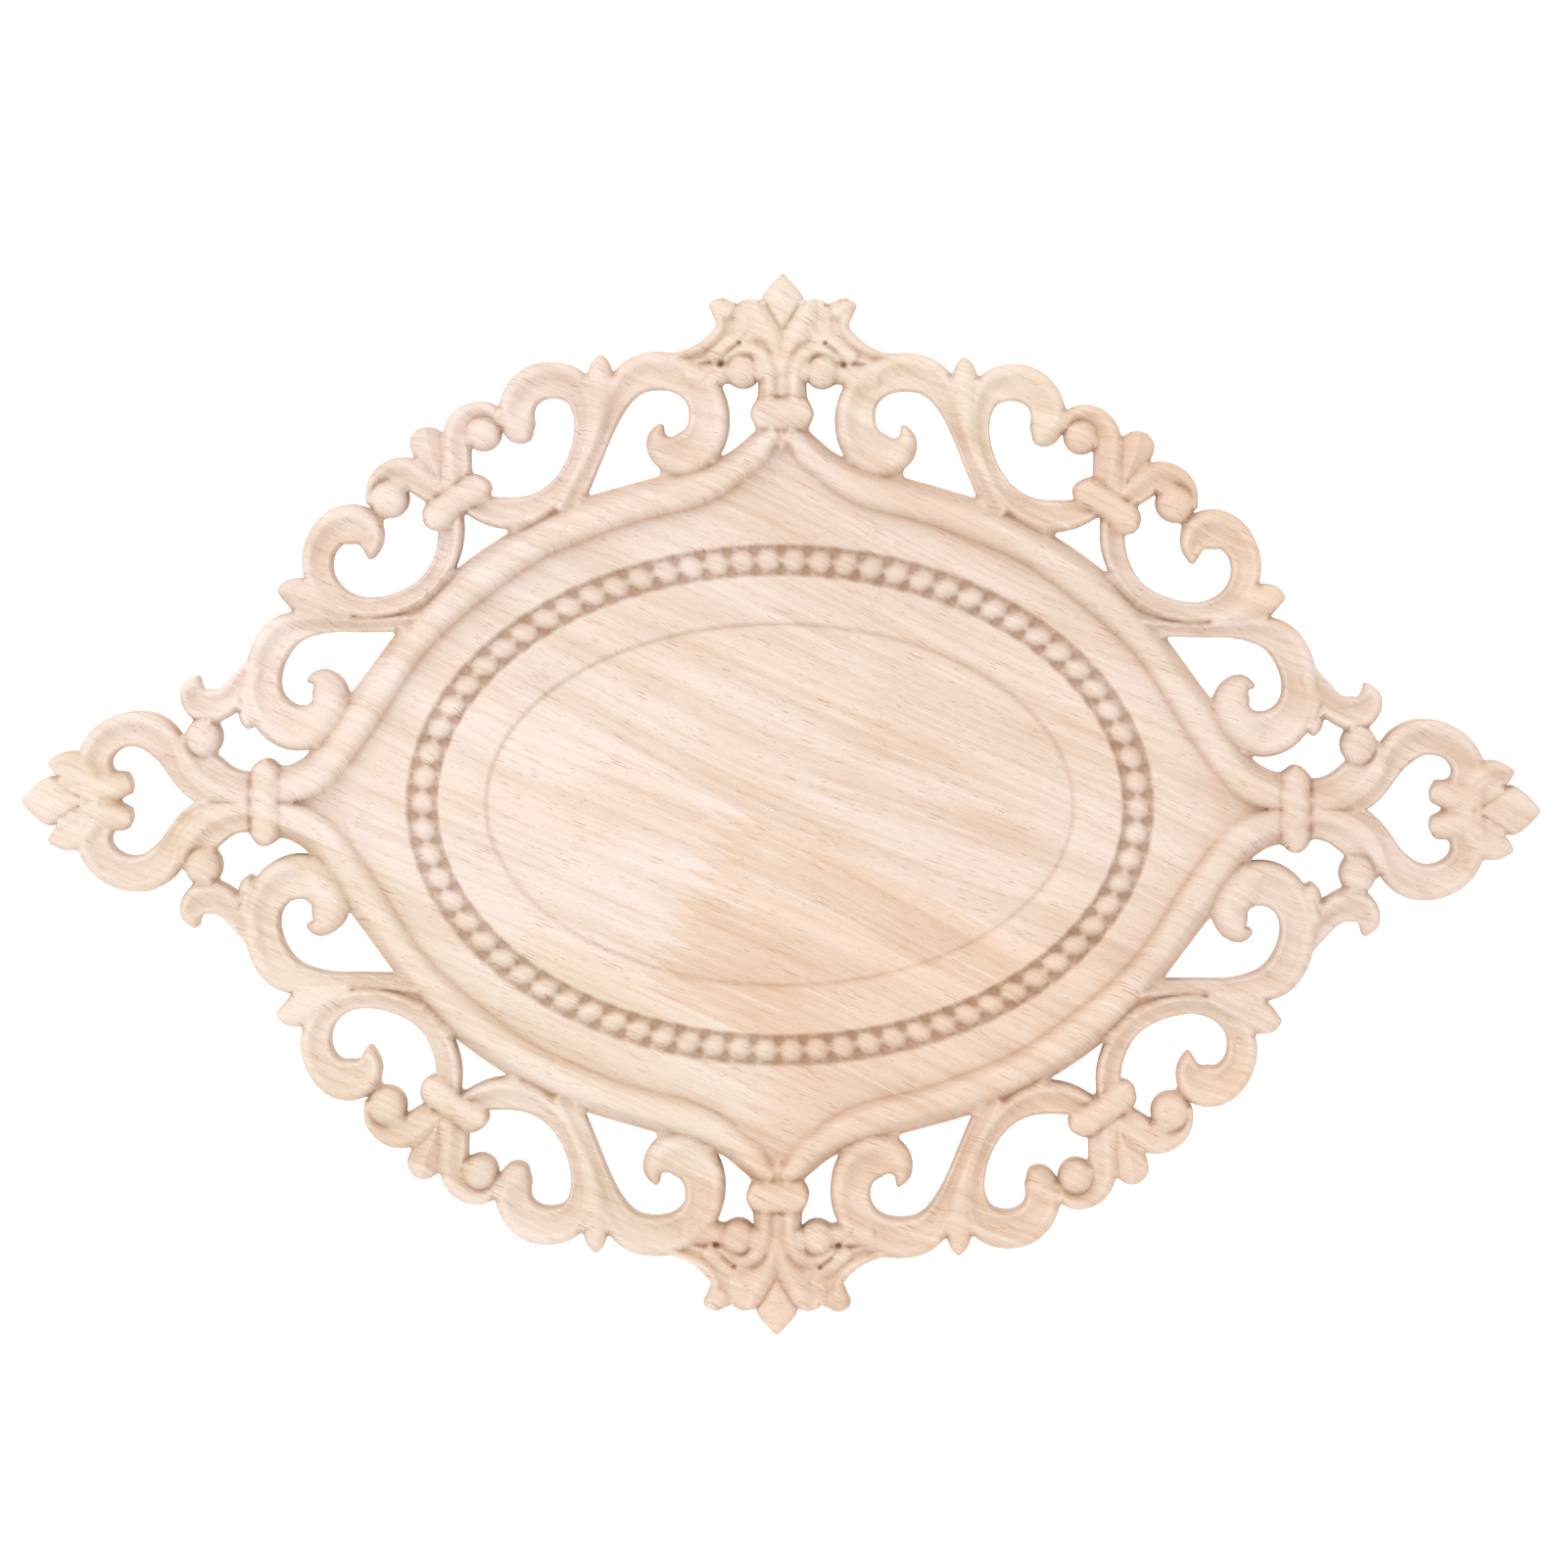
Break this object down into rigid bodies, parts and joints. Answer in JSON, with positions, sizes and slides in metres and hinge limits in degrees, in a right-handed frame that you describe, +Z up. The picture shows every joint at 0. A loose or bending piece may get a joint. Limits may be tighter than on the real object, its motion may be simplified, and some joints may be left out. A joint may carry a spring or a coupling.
{
  "type": "wood applique",
  "caption": "Openwork scrolled relief applique of bare wood with a beaded oval panel, flat at the back, to be glued or pinned to a flat surface.",
  "frame": {"origin": "centre of the flat back, where the applique is fixed to a wall, door or furniture front", "axes": "+X along the width, +Z up the height, +Y out of the flat back into the surface it is fixed to; the carved face looks to -Y"},
  "size_m": [0.4002, 0.015, 0.2794],
  "materials": {
    "wood": "bare sanded rubberwood, finger-jointed, unfinished"
  },
  "bodies": {
    "root": {"applique": "wood"}
  },
  "joints": []
}
